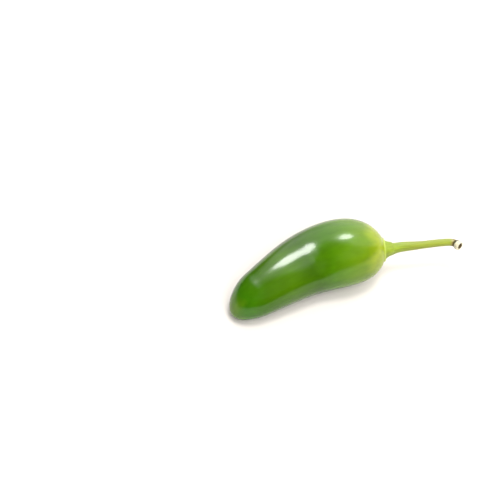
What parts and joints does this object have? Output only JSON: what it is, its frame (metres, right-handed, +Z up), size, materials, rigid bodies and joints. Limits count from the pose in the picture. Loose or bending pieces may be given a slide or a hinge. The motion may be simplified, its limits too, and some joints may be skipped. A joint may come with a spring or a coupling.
{
  "type": "green chilli pepper",
  "caption": "Glossy green chilli pepper of the blunt jalapeño shape, lying on its side, with its calyx, curved stalk and corky stalk end.",
  "frame": {"origin": "on the surface that the pepper lies on, under the middle of its whole length, stalk included", "axes": "+X along the pod from its tip to its stalk, +Y to the outside of its bend, +Z up"},
  "size_m": [0.099, 0.034, 0.0274],
  "materials": {
    "skin": "smooth waxy skin, deep green with a yellow-green shoulder and a paler tip, clear glossy reflections",
    "stalk_rind": "satin yellow-green rind with fine lengthwise ridges, dark groove and cream corky end with a dark pit"
  },
  "bodies": {
    "root": {"pod": "skin", "stalk": "stalk_rind"}
  },
  "joints": []
}
